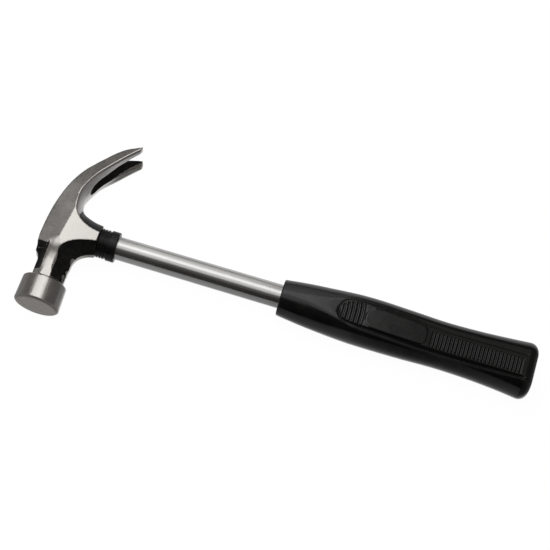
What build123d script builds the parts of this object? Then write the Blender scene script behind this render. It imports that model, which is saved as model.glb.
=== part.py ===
from build123d import *
import os
from math import cos, radians, sin, tan

# Claw hammer with a tubular steel handle, lying on its side. Millimetres.
# +X runs along the handle to the butt, +Y to the claws, -Y to the striking face, +Z up.
# Outlines are drawn in the hammer's own mid-plane and measured from the eye centre,
# the point where the handle's axis crosses the head's axis.

# --- driving dimensions -------------------------------------------------------------
HALF_WIDTH = 14.5        # half the width of the claws and the poll, and what it lies on
CROWN_RISE = 12.6        # from the eye centre up to the top of the head
BUTT_REACH = 305.6       # from the eye centre to the end of the grip
FACE_REACH = 52.1        # from the eye centre to the striking face
RAKE = 1.4               # degrees that the poll leans away from the grip
CLAW_TIP = (30.8, 65.2)
CLAW_TIP_INNER = (30.1, 61.9)

POLL_REAR = 35.4         # distance of the poll's rear rim from the eye centre
POLL_REAR_R = 14.1
POLL_R = 14.5
FACE_R = 13.2
FACE_CHAMFER = 1.1
FLARE_START = 30.5       # the neck starts to open out to the poll here
FLARE_R = 9.2

SOCKET_END = 22.5        # where the head stops and the collar starts
SEAM_HALF = 2.3          # half the width of the ground strip along the forging's seam
CHEEK_RIDGE = (3.8, 15.0)
CHEEK_LEAN = 8.5         # degrees between the cheek's ridge and the head's axis
CHEEK_SLOPE = 9.5        # degrees that the cheek falls away towards the collar
CROWN_SLOPE = 16.0       # degrees that the sides fall away towards the crown
BODY_END = 14.3          # the full-width body stops this far down the head's axis
NECK_HALF = 11.4         # half the neck's width, side to side
NECK_FULL = 24.0         # from here to the body the neck widens
NECK_CUT_END = 40.0      # the neck's side cuts end inside the poll
CUT_OVER = 0.4           # cutters run this far past the surface that they open
SCALLOP_R = 8.2          # scallops forged into the neck's two crown corners
SCALLOP_ROUND = 4.0
SCALLOP_END = 37.5       # the scallops run on into the poll
BEVEL_HEIGHT = 1.3       # bevel along the outer edges of the claws' inner surface
BEVEL_SHIFT = (-1.0, 0.7)

TUBE_START = -10.2
TUBE_END = 288.0
TUBE_R_HEAD = 7.34
TUBE_R_BUTT = 7.93
TUBE_WALL = 1.6
EYE_FLARE_START = 6.0    # from here to the crown the eye opens out and holds the tube
EYE_R_CROWN = 8.1
EYE_CUT_START = -20.0    # the cutter for the eye runs out of the head at both ends
EYE_CUT_END = 23.5
WEDGE_END = 4.0
CORE_END = 62.0
PLUG_DEPTH = 12.0
PLUG_HEAD = 3.0

COLLAR_END = 34.7
COLLAR_R = 9.7
COLLAR_RIB_R = 9.35
COLLAR_VALLEY_R = 8.8
COLLAR_RIBS = 3
COLLAR_RIB_PITCH = 1.9
COLLAR_GAP = 0.7         # the groove between two ribs
COLLAR_LEAD = 0.5        # the step before the first rib
COLLAR_ROUND = 0.5

GRIP_START = 141.2
FLAT = 13.5              # half thickness over the flat side panels
PANEL_MID = -2.1         # the panels sit a little towards the face
PANEL_HALF = 7.9
PANEL_START = 178.8
PANEL_RUN_OUT = 298.5
PANEL_ROUND = 6.5
GROOVE_WIDTH = 1.2
GROOVE_FLOOR = 12.4
PLATE_START = 195.4      # the smooth plate in the middle of each panel
PLATE_END = 234.6
PLATE_MID = -2.1
PLATE_HALF = 5.9
PLATE_ROUND = 3.6
PLATE_CREST = 13.95
PLATE_GAP = 0.8          # between the thumb ribs' pocket and the plate
THUMB_RIBS = 5
THUMB_RIB_START = 182.5
THUMB_RIB_PITCH = 2.75
THUMB_RIB_WIDTH = 1.3
THUMB_RIB_BOW = 0.5      # how far the thumb ribs bow towards the head
RIBS = 23
RIB_START = 239.2
RIB_PITCH = 2.395
RIB_LOW = -8.4
RIB_HIGH = 2.0
RIB_WIDTH = 1.4
RIB_FLOOR = 12.7
RIB_CREST = 13.85
RIB_ROUND = 0.5
RIB_ROOT = 1.0           # how deep the plate and the ribs are rooted below the pockets
EDGE_ROUND = 0.35
POCKET_GAP = 0.7         # the pockets stay this far inside the groove

# --- the part's frame: centred under the hammer's box, standing on the surface -------
POLL_LEFT = POLL_R * cos(radians(RAKE)) + (FACE_REACH - FACE_CHAMFER) * sin(radians(RAKE))
LENGTH_MID = (BUTT_REACH - POLL_LEFT) / 2
FACE_LOW = FACE_REACH * cos(radians(RAKE)) + FACE_R * sin(radians(RAKE))
HEIGHT_MID = (CLAW_TIP[1] - FACE_LOW) / 2
EYE = Vector(-LENGTH_MID, -HEIGHT_MID, HALF_WIDTH)
SIDE = Plane(origin=EYE, x_dir=(1, 0, 0), z_dir=(0, 0, 1))
HANDLE_AXIS = Axis(EYE, (1, 0, 0))
POLL_SIDE = SIDE.rotated((0, 0, -RAKE))
POLL_AXIS = Axis(EYE, POLL_SIDE.y_dir)
FAR = 60.0


def across(x):
    """Plane square to the handle at x: its local x is the hammer's Y, its local y is Z."""
    return Plane(origin=EYE + Vector(x, 0, 0), x_dir=(0, 1, 0), z_dir=(1, 0, 0))


def along_handle(x, y=0.0, z=0.0):
    """A point given from the eye centre."""
    return EYE + Vector(x, y, z)


def tube_r(x):
    """Outside radius of the handle tube, which is drawn slightly thicker at the butt."""
    share = (x - EYE_FLARE_START) / (TUBE_END - EYE_FLARE_START)
    return TUBE_R_HEAD + (TUBE_R_BUTT - TUBE_R_HEAD) * share


def eye_r(x):
    """Radius of the flared end of the eye, which the tube's end is expanded into."""
    share = (EYE_FLARE_START - x) / (EYE_FLARE_START + CROWN_RISE)
    return TUBE_R_HEAD + (EYE_R_CROWN - TUBE_R_HEAD) * share


# --- head: one forging ---------------------------------------------------------------
CROWN = [(21.5, 60.8), (10.7, 51.0), (0.6, 39.5), (-5.2, 29.3), (-9.1, 18.0), (-11.7, 4.1)]
CROWN_TOP = (-CROWN_RISE, -10.0)
CROWN_CORNER = (-12.4, -18.5)
SCOOP_MID = (-9.9, -21.6)
NECK_TOP = (-9.2, -25.5)
NECK_TOP_END = (-9.5, -37.0)

# The inner surface of the claws and the socket's upper side, from the collar to the tip:
# on the seam, and out at the side edges.
THROAT_SEAM = [(28.0, 9.8), (20.0, 10.8), (15.5, 11.7), (12.0, 12.9), (8.6, 14.6), (6.6, 17.6),
               (5.8, 22.0), (6.2, 26.8), (8.2, 31.8), (11.2, 38.3), (15.4, 44.6), (20.0, 50.9),
               (24.9, 56.4), (34.0, 65.6)]
THROAT_EDGE = [(28.0, -2.0), (20.0, 0.8), (15.0, 3.0), (11.4, 5.2), (7.4, 8.6), (4.9, 12.6),
               (3.7, 17.6), (3.6, 24.4), (6.1, 31.6), (10.2, 39.0), (15.0, 45.1), (19.9, 51.0),
               (24.8, 56.5), (33.9, 65.7)]
# The underside of the socket and the neck, from the collar to the poll.
UNDER_SEAM = [(28.0, -9.3), (22.5, -9.9), (17.4, -11.6), (13.9, -14.3), (12.0, -17.4),
              (11.0, -22.5), (10.4, -29.0), (10.3, -37.0)]
UNDER_EDGE = [(28.0, 0.6), (21.7, -0.8), (14.9, -3.6), (7.0, -8.0), (2.4, -13.0),
              (-0.7, -20.5), (-0.6, -29.0), (-0.4, -37.0)]


def between(seam, edge, share):
    """An outline part of the way from the seam's outline to the edge's."""
    return [(a[0] + (b[0] - a[0]) * share, a[1] + (b[1] - a[1]) * share)
            for a, b in zip(seam, edge)]


def shifted(outline, shift):
    return [(x + shift[0], y + shift[1]) for x, y in outline]


def waste(plane, outline):
    """A face covering everything on the handle's side of an outline."""
    with BuildSketch(plane) as sketch:
        with BuildLine():
            Spline(*outline)
            Polyline(outline[-1], (FAR, outline[-1][1]), (FAR, outline[0][1]), outline[0])
        make_face()
    return sketch.sketch


BEVEL_START = HALF_WIDTH - BEVEL_HEIGHT
OVER = 1.0
THROAT_MIDWAY = 0.40     # the inner surface is crowned, so halfway out it has moved less

with BuildPart() as throat_cut:
    add(waste(SIDE, THROAT_SEAM))
    extrude(amount=SEAM_HALF)
    loft([waste(SIDE.offset(SEAM_HALF), THROAT_SEAM),
          waste(SIDE.offset((SEAM_HALF + BEVEL_START) / 2),
                between(THROAT_SEAM, THROAT_EDGE, THROAT_MIDWAY)),
          waste(SIDE.offset(BEVEL_START), THROAT_EDGE)])
    top = BEVEL_HEIGHT + OVER
    slant = top / BEVEL_HEIGHT
    loft([waste(SIDE.offset(BEVEL_START), THROAT_EDGE),
          waste(SIDE.offset(BEVEL_START + top),
                shifted(THROAT_EDGE, (BEVEL_SHIFT[0] * slant, BEVEL_SHIFT[1] * slant)))],
         ruled=True)
    mirror(about=SIDE)

with BuildPart() as under_cut:
    add(waste(SIDE, UNDER_SEAM))
    extrude(amount=SEAM_HALF)
    beyond = (HALF_WIDTH + OVER - SEAM_HALF) / (HALF_WIDTH - SEAM_HALF)
    loft([waste(SIDE.offset(SEAM_HALF), UNDER_SEAM),
          waste(SIDE.offset(HALF_WIDTH + OVER), between(UNDER_SEAM, UNDER_EDGE, beyond))],
         ruled=True)
    mirror(about=SIDE)

# The ridge runs along the widest part of the head, from the poll to the claws. The cheeks
# fall away from it towards the collar, as wedges cut from each side.
TO_HANDLE = Vector(1, 0, 0).rotate(Axis.Z, -CHEEK_LEAN)
ALONG_RIDGE = Vector(0, 1, 0).rotate(Axis.Z, -CHEEK_LEAN)
with BuildPart() as cheek_cut:
    drop = FAR * tan(radians(CHEEK_SLOPE))
    with BuildSketch(Plane(origin=along_handle(*CHEEK_RIDGE), x_dir=TO_HANDLE, z_dir=ALONG_RIDGE)):
        with BuildLine():
            Polyline((0, -HALF_WIDTH), (FAR, -HALF_WIDTH + drop), (FAR, -FAR), (0, -FAR), close=True)
        make_face()
    extrude(amount=-FAR)
    mirror(about=SIDE)


def ridge_x(y):
    """Where the ridge runs, measured from the eye centre."""
    return CHEEK_RIDGE[0] + (y - CHEEK_RIDGE[1]) * tan(radians(CHEEK_LEAN))


def beside(outline, distance):
    """An outline moved square to itself, towards the crown."""
    moved = []
    for i, (x, y) in enumerate(outline):
        before = outline[max(i - 1, 0)]
        after = outline[min(i + 1, len(outline) - 1)]
        way = Vector(after[0] - before[0], after[1] - before[1], 0).normalized()
        moved.append((x - way.Y * distance, y + way.X * distance))
    return moved


def crown_waste(plane, outline):
    """A face covering everything on the crown's side of an outline."""
    with BuildSketch(plane) as sketch:
        with BuildLine():
            Spline(*outline)
            Polyline(outline[-1], (-FAR, outline[-1][1]), (-FAR, outline[0][1]), outline[0])
        make_face()
    return sketch.sketch


# The sides of the claws and the body fall away towards the crown at one slope, from the
# claws' inner edge and then from the ridge.
SIDE_START = [(ridge_x(y), y) for y in (-40.0, -25.0, -10.0, 3.0)]
SIDE_START += [(3.7, 14.5), (4.3, 24.4), (6.6, 31.9), (10.5, 39.1), (15.0, 45.1), (19.9, 51.0),
               (24.8, 56.5), (33.9, 65.7)]
CROWN_DROP = 5.0         # deeper than the sides fall before they reach the crown
CROWN_OVER = 0.2
with BuildPart() as crown_cut:
    run = 1 / tan(radians(CROWN_SLOPE))
    loft([crown_waste(SIDE.offset(HALF_WIDTH + CROWN_OVER), beside(SIDE_START, -CROWN_OVER * run)),
          crown_waste(SIDE.offset(HALF_WIDTH - CROWN_DROP), beside(SIDE_START, CROWN_DROP * run))],
         ruled=True)
    mirror(about=SIDE)

# The neck's sides: square cuts that leave it narrower than the body and the poll.
with BuildPart() as neck_cut:
    with BuildSketch(across(-FAR / 2)):
        with BuildLine():
            Line((-NECK_CUT_END, NECK_HALF), (-NECK_FULL, NECK_HALF))
            TangentArc((-NECK_FULL, NECK_HALF), (-BODY_END, HALF_WIDTH + CUT_OVER), tangent=(1, 0))
            Polyline((-BODY_END, HALF_WIDTH + CUT_OVER), (-BODY_END, FAR), (-NECK_CUT_END, FAR),
                     (-NECK_CUT_END, NECK_HALF))
        make_face()
    extrude(amount=FAR)
    mirror(about=SIDE)

# The neck's sides fall away towards the crown too.
with BuildPart() as neck_crown_cut:
    side = Plane(origin=along_handle(ridge_x(0), 0), x_dir=ALONG_RIDGE, z_dir=TO_HANDLE)
    with BuildSketch(side):
        with BuildLine():
            Line((-NECK_CUT_END, NECK_HALF), (-NECK_FULL, NECK_HALF))
            TangentArc((-NECK_FULL, NECK_HALF), (-BODY_END, HALF_WIDTH + CUT_OVER), tangent=(1, 0))
            Polyline((-BODY_END, HALF_WIDTH + CUT_OVER), (-BODY_END, FAR), (-NECK_CUT_END, FAR),
                     (-NECK_CUT_END, NECK_HALF))
        make_face()
    fall = Vector(0, 0, -1) * tan(radians(CROWN_SLOPE)) - TO_HANDLE
    extrude(amount=FAR / 2, dir=fall.normalized())
    mirror(about=SIDE)

# Scallops in the neck's two crown corners.
SCALLOP_AT = (-13.2, 13.6)
with BuildPart() as scallop_cut:
    axis_at = along_handle(SCALLOP_AT[0], 0, SCALLOP_AT[1])
    with BuildSketch(Plane(origin=axis_at, x_dir=(1, 0, 0), z_dir=(0, 0, 1))):
        with BuildLine():
            Polyline((0, -BODY_END - CUT_OVER / 2), (SCALLOP_R, -BODY_END - CUT_OVER / 2),
                     (SCALLOP_R, -SCALLOP_END), (0, -SCALLOP_END), close=True)
        face = make_face()
        fillet(face.vertices().group_by(Axis.X)[-1], SCALLOP_ROUND)
    revolve(axis=Axis(axis_at, (0, 1, 0)))
    mirror(about=SIDE)

# The nail slot: a V between the claws, countersunk towards the handle. Each station is a
# point on the inner surface, the slot's half width there, and its half width at the crown.
SLOT = [((9.9, 35.9), 5.9, 1.1), ((15.4, 44.6), 6.5, 1.6), ((20.0, 50.9), 7.9, 2.3),
        ((24.9, 56.4), 8.7, 3.4), ((30.1, 61.9), 9.5, 6.0), ((34.3, 65.9), 10.2, 8.4)]
SLOT_DEPTH = [8.0, 5.9, 4.6, 3.4, 2.3, 1.6]
SLOT_OVER = 1.2          # how far the cutter runs past the inner surface
SLOT_PAST = 3.5          # and past the crown


def slot_plane(i):
    """Plane square to the slot at a station: local x is across it, local y to the handle."""
    before = SLOT[max(i - 1, 0)][0]
    after = SLOT[min(i + 1, len(SLOT) - 1)][0]
    way = Vector(after[0] - before[0], after[1] - before[1], 0)
    return Plane(origin=along_handle(*SLOT[i][0]), x_dir=(0, 0, 1), z_dir=way)


def slot_section(i):
    """The slot's section, run on past the inner surface along its sloping walls."""
    wide, narrow, depth = SLOT[i][1], SLOT[i][2], SLOT_DEPTH[i]
    slope = (wide - narrow) / depth
    with BuildSketch(slot_plane(i)) as sketch:
        with BuildLine():
            Polyline((wide + SLOT_OVER * slope, SLOT_OVER), (narrow, -depth),
                     (narrow, -depth - SLOT_PAST), (-narrow, -depth - SLOT_PAST),
                     (-narrow, -depth), (-wide - SLOT_OVER * slope, SLOT_OVER), close=True)
        make_face()
    return sketch.sketch


with BuildPart() as slot_cut:
    loft([slot_section(i) for i in range(len(SLOT))], ruled=True)

# The slot's rounded root: the same V turned about a line through its first station.
with BuildPart() as slot_root:
    root = slot_plane(0)
    wide, narrow, depth = SLOT[0][1], SLOT[0][2], SLOT_DEPTH[0]
    slope = (wide - narrow) / depth
    with BuildSketch(root):
        with BuildLine():
            Polyline((0, SLOT_OVER), (wide + SLOT_OVER * slope, SLOT_OVER), (narrow, -depth),
                     (narrow, -depth - SLOT_PAST), (0, -depth - SLOT_PAST), close=True)
        make_face()
    revolve(axis=Axis(root.origin, root.y_dir))

with BuildPart() as head:
    with BuildSketch(SIDE):
        with BuildLine():
            Spline(CLAW_TIP, *CROWN, CROWN_TOP, CROWN_CORNER, tangents=[(-0.88, -0.47), (0, -1)])
            ThreePointArc(CROWN_CORNER, SCOOP_MID, NECK_TOP)
            Polyline(NECK_TOP, NECK_TOP_END, (SOCKET_END, NECK_TOP_END[1]), (SOCKET_END, 40.0),
                     (28.7, 55.3), CLAW_TIP)
        make_face()
    extrude(amount=HALF_WIDTH, both=True)
    for cut in (throat_cut, under_cut, neck_cut, cheek_cut, crown_cut, neck_crown_cut, scallop_cut,
                slot_cut, slot_root):
        add(cut.part, mode=Mode.SUBTRACT)
    with BuildSketch(POLL_SIDE):
        with BuildLine():
            flare = ThreePointArc((FLARE_R, -FLARE_START), (FLARE_R + 1.2, -FLARE_START - 3.4),
                                  (POLL_REAR_R - 0.6, -POLL_REAR))
            Polyline(flare @ 1, (POLL_REAR_R, -POLL_REAR - 0.6), (POLL_R, -FACE_REACH + FACE_CHAMFER),
                     (FACE_R, -FACE_REACH), (0, -FACE_REACH), (0, -FLARE_START), flare @ 0)
        make_face()
    revolve(axis=POLL_AXIS)
    with BuildSketch(SIDE):
        with BuildLine():
            Polyline((EYE_CUT_START, 0), (EYE_CUT_END, 0), (EYE_CUT_END, tube_r(EYE_CUT_END)),
                     (EYE_FLARE_START, TUBE_R_HEAD), (EYE_CUT_START, eye_r(EYE_CUT_START)), close=True)
        make_face()
    revolve(axis=HANDLE_AXIS, mode=Mode.SUBTRACT)


# --- handle tube: drawn steel, its upper end expanded into the eye ---------------------
BORE_R = TUBE_R_HEAD - TUBE_WALL

with BuildPart() as shaft_tube:
    with BuildSketch(SIDE):
        with BuildLine():
            Polyline((TUBE_START, eye_r(TUBE_START) - TUBE_WALL), (TUBE_START, eye_r(TUBE_START)),
                     (EYE_FLARE_START, TUBE_R_HEAD), (TUBE_END, TUBE_R_BUTT),
                     (TUBE_END, tube_r(TUBE_END) - TUBE_WALL), (CORE_END, tube_r(CORE_END) - TUBE_WALL),
                     (EYE_FLARE_START, BORE_R), close=True)
        make_face()
    revolve(axis=HANDLE_AXIS)

# Steel plug driven into the tube at the crown, which spreads the tube in the eye.
with BuildPart() as eye_wedge:
    with BuildSketch(SIDE):
        with BuildLine():
            Polyline((TUBE_START, 0), (TUBE_START, eye_r(TUBE_START) - TUBE_WALL),
                     (WEDGE_END, eye_r(WEDGE_END) - TUBE_WALL), (WEDGE_END, 0), close=True)
        make_face()
    revolve(axis=HANDLE_AXIS)

# Hardwood core that keeps the tube from buckling under the head.
with BuildPart() as tube_core:
    with BuildSketch(SIDE):
        with BuildLine():
            Polyline((WEDGE_END, 0), (WEDGE_END, eye_r(WEDGE_END) - TUBE_WALL),
                     (EYE_FLARE_START, BORE_R), (CORE_END, tube_r(CORE_END) - TUBE_WALL),
                     (CORE_END, 0), close=True)
        make_face()
    revolve(axis=HANDLE_AXIS)

# Plastic plug that closes the tube's lower end inside the grip.
with BuildPart() as tube_end_plug:
    plug_start = TUBE_END - PLUG_DEPTH
    with BuildSketch(SIDE):
        with BuildLine():
            Polyline((plug_start, 0), (plug_start, tube_r(plug_start) - TUBE_WALL),
                     (TUBE_END, TUBE_R_BUTT - TUBE_WALL), (TUBE_END, TUBE_R_BUTT),
                     (TUBE_END + PLUG_HEAD, TUBE_R_BUTT), (TUBE_END + PLUG_HEAD, 0), close=True)
        make_face()
    revolve(axis=HANDLE_AXIS)

# --- collar: ribbed plastic ring between the head and the bare tube --------------------
with BuildPart() as collar:
    rib_zone = 2 * COLLAR_LEAD + COLLAR_RIBS * COLLAR_RIB_PITCH
    band_start = SOCKET_END + rib_zone
    with BuildSketch(SIDE):
        with BuildLine():
            Polyline((SOCKET_END, tube_r(SOCKET_END)), (SOCKET_END, COLLAR_VALLEY_R),
                     (band_start, COLLAR_VALLEY_R), (band_start, COLLAR_R),
                     (COLLAR_END, COLLAR_R), (COLLAR_END, tube_r(COLLAR_END)), close=True)
        make_face()
    revolve(axis=HANDLE_AXIS)
    for i in range(COLLAR_RIBS):
        start = SOCKET_END + COLLAR_LEAD + i * COLLAR_RIB_PITCH
        with BuildSketch(across(start)):
            Circle(COLLAR_RIB_R)
            Circle(COLLAR_VALLEY_R - COLLAR_LEAD, mode=Mode.SUBTRACT)
        extrude(amount=COLLAR_RIB_PITCH - COLLAR_GAP)
    rims = collar.edges().filter_by(GeomType.CIRCLE).filter_by(
        lambda edge: abs(edge.radius - COLLAR_R) < 0.01)
    fillet(rims, COLLAR_ROUND)

# --- grip: one moulding over the tube --------------------------------------------------
# Each station: distance from the eye centre, reach towards the claws, reach towards the
# face, and half thickness.
GRIP_STATIONS = [(GRIP_START, 11.5, 11.9, 11.8), (155.0, 13.2, 13.6, 13.2), (172.0, 14.6, 15.05, 15.0),
                 (198.0, 15.7, 15.85, 15.7), (222.0, 15.1, 15.7, 15.6), (246.0, 14.1, 15.2, 15.4),
                 (266.0, 14.65, 15.8, 15.4), (284.0, 15.9, 17.2, 15.4), (BUTT_REACH, 17.9, 19.9, 15.4)]
BUTT_ROUND = 6.0
FRONT_ROUND = 0.9


def grip_section(station):
    x, up, down, half = station
    with BuildSketch(across(x)) as sketch:
        with Locations(((up - down) / 2, 0)):
            Ellipse((up + down) / 2, half)
    return sketch.sketch


def panel_outline(inset):
    """The round-ended outline of a side panel, longer than the panel towards the butt."""
    start = PANEL_START + inset
    run = PANEL_RUN_OUT + 20.0 - start
    with BuildSketch() as sketch:
        with Locations((start + run / 2, PANEL_MID)):
            RectangleRounded(run, 2 * (PANEL_HALF - inset), PANEL_ROUND - inset)
    return sketch.sketch


def clip(low, high):
    """A face between two distances along the handle, wider than the grip."""
    with BuildSketch() as sketch:
        with Locations(((low + high) / 2, 0)):
            Rectangle(high - low, FAR)
    return sketch.sketch


with BuildPart() as grip:
    loft([grip_section(station) for station in GRIP_STATIONS])
    fillet(grip.faces().sort_by(Axis.X)[-1].edges(), BUTT_ROUND)
    fillet(grip.faces().sort_by(Axis.X)[0].edges(), FRONT_ROUND)
    with BuildSketch(SIDE):
        with Locations((BUTT_REACH / 2, 0)):
            Rectangle(BUTT_REACH + FAR, FAR)
    extrude(amount=FLAT, both=True, mode=Mode.INTERSECT)

# Everything on one side panel, drawn on the near side and mirrored to the far side.
with BuildPart() as panel_groove:
    with BuildSketch(SIDE.offset(GROOVE_FLOOR)):
        add(panel_outline(0.0))
        add(panel_outline(GROOVE_WIDTH), mode=Mode.SUBTRACT)
        add(clip(0.0, PANEL_RUN_OUT), mode=Mode.INTERSECT)
    extrude(amount=FAR)
    mirror(about=SIDE)

with BuildPart() as rib_pockets:
    with BuildSketch(SIDE.offset(RIB_FLOOR)):
        add(panel_outline(GROOVE_WIDTH + POCKET_GAP))
        add(clip(0.0, PLATE_START - PLATE_GAP), mode=Mode.INTERSECT)
        with Locations((RIB_START + (RIBS - 1) * RIB_PITCH / 2, (RIB_LOW + RIB_HIGH) / 2)):
            Rectangle(RIBS * RIB_PITCH, RIB_HIGH - RIB_LOW)
    extrude(amount=FAR)
    mirror(about=SIDE)

with BuildPart() as raised:
    with BuildSketch(SIDE.offset(RIB_FLOOR - RIB_ROOT)):
        with Locations(((PLATE_START + PLATE_END) / 2, PLATE_MID)):
            RectangleRounded(PLATE_END - PLATE_START, 2 * PLATE_HALF, PLATE_ROUND)
    extrude(amount=PLATE_CREST - RIB_FLOOR + RIB_ROOT)
    fillet(raised.faces().sort_by(Axis.Z)[-1].edges(), EDGE_ROUND)
    mirror(about=SIDE)

with BuildPart() as long_ribs:
    with BuildSketch(SIDE.offset(RIB_FLOOR - RIB_ROOT)):
        with Locations((RIB_START + (RIBS - 1) * RIB_PITCH / 2, (RIB_LOW + RIB_HIGH) / 2)):
            with GridLocations(RIB_PITCH, 1, RIBS, 1):
                Rectangle(RIB_WIDTH, RIB_HIGH - RIB_LOW)
    extrude(amount=RIB_CREST - RIB_FLOOR + RIB_ROOT)
    fillet(long_ribs.faces().filter_by(Axis.Z).group_by(Axis.Z)[-1].edges(), RIB_ROUND)
    mirror(about=SIDE)

with BuildPart() as thumb_ribs:
    with BuildSketch(SIDE.offset(RIB_FLOOR - RIB_ROOT)):
        for i in range(THUMB_RIBS):
            at = THUMB_RIB_START + i * THUMB_RIB_PITCH
            with BuildLine():
                ThreePointArc((at + THUMB_RIB_BOW, PANEL_MID + PANEL_HALF), (at, PANEL_MID),
                              (at + THUMB_RIB_BOW, PANEL_MID - PANEL_HALF))
            trace(line_width=THUMB_RIB_WIDTH)
        add(panel_outline(GROOVE_WIDTH + POCKET_GAP), mode=Mode.INTERSECT)
    extrude(amount=RIB_CREST - RIB_FLOOR + RIB_ROOT)
    fillet(thumb_ribs.faces().filter_by(Axis.Z).group_by(Axis.Z)[-1].edges(), EDGE_ROUND)
    mirror(about=SIDE)

with BuildPart() as grip_bore:
    with BuildSketch(SIDE):
        with BuildLine():
            Polyline((GRIP_START - 1, 0), (GRIP_START - 1, tube_r(GRIP_START - 1)), (TUBE_END, TUBE_R_BUTT),
                     (TUBE_END + PLUG_HEAD, TUBE_R_BUTT), (TUBE_END + PLUG_HEAD, 0), close=True)
        make_face()
    revolve(axis=HANDLE_AXIS)

with grip:
    for cut in (panel_groove, rib_pockets):
        add(cut.part, mode=Mode.SUBTRACT)
    for boss in (raised, long_ribs, thumb_ribs):
        add(boss.part)
    add(grip_bore.part, mode=Mode.SUBTRACT)

head.part.label = "head"
shaft_tube.part.label = "shaft_tube"
eye_wedge.part.label = "eye_wedge"
tube_core.part.label = "tube_core"
tube_end_plug.part.label = "tube_end_plug"
collar.part.label = "collar"
grip.part.label = "grip"

os.makedirs("parts", exist_ok=True)
export_step(head.part, "parts/head.step")
export_step(shaft_tube.part, "parts/shaft_tube.step")
export_step(eye_wedge.part, "parts/eye_wedge.step")
export_step(tube_core.part, "parts/tube_core.step")
export_step(tube_end_plug.part, "parts/tube_end_plug.step")
export_step(collar.part, "parts/collar.step")
export_step(grip.part, "parts/grip.step")
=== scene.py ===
import math

import bmesh
import bpy
import numpy as np
from mathutils import Matrix, Vector, noise


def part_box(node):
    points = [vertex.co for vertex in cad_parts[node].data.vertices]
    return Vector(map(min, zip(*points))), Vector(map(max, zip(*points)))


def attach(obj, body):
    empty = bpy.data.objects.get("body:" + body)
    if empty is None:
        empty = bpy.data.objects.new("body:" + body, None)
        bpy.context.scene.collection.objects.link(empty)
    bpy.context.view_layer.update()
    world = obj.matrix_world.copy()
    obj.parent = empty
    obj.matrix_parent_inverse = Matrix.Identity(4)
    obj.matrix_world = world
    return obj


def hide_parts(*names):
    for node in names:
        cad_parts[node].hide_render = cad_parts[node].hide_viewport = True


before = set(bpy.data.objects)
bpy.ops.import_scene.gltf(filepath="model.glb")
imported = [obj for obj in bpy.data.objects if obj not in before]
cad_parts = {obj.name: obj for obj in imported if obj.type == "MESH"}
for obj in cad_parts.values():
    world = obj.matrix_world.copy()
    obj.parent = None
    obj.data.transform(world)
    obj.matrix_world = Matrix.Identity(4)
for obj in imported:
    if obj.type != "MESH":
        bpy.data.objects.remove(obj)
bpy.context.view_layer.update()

MM = 0.001

# The eye centre, where the handle's axis crosses the head's axis. Shapes are drawn in
# millimetres from it: x to the butt, y to the claws, z out of the side that faces up.
TUBE_START = -10.2
tube_low, tube_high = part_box("shaft_tube")
EYE = (tube_low + tube_high) / 2
EYE.x = tube_low.x - TUBE_START * MM


def place(points):
    """Points in millimetres from the eye centre, as metres in the row frame."""
    return np.asarray(points, float) * MM + np.array(EYE)


def local(mesh):
    """A mesh's points in millimetres from the eye centre, and its point normals."""
    count = len(mesh.vertices)
    co = np.empty(count * 3)
    mesh.vertices.foreach_get("co", co)
    normals = np.empty(count * 3)
    mesh.vertices.foreach_get("normal", normals)
    return (co.reshape(-1, 3) - np.array(EYE)) / MM, normals.reshape(-1, 3)


def smooth_step(low, high, value):
    """0 up to low, 1 from high on, and a smooth rise between. It falls where low is the larger."""
    t = np.clip((value - low) / (high - low), 0, 1)
    return t * t * (3 - 2 * t)


def new_piece(name, points, faces):
    """A smooth-shaded object from points in millimetres from the eye centre."""
    mesh = bpy.data.meshes.new(name)
    mesh.from_pydata([tuple(p) for p in place(points)], [], faces)
    mesh.validate()
    mesh.update()
    piece = bpy.data.objects.new(name, mesh)
    bpy.context.scene.collection.objects.link(piece)
    mesh.polygons.foreach_set("use_smooth", [True] * len(mesh.polygons))
    return piece


def write_attribute(mesh, name, values):
    attribute = mesh.attributes.new(name, "FLOAT", "POINT")
    attribute.data.foreach_set("value", np.asarray(values, np.float32))


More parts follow.
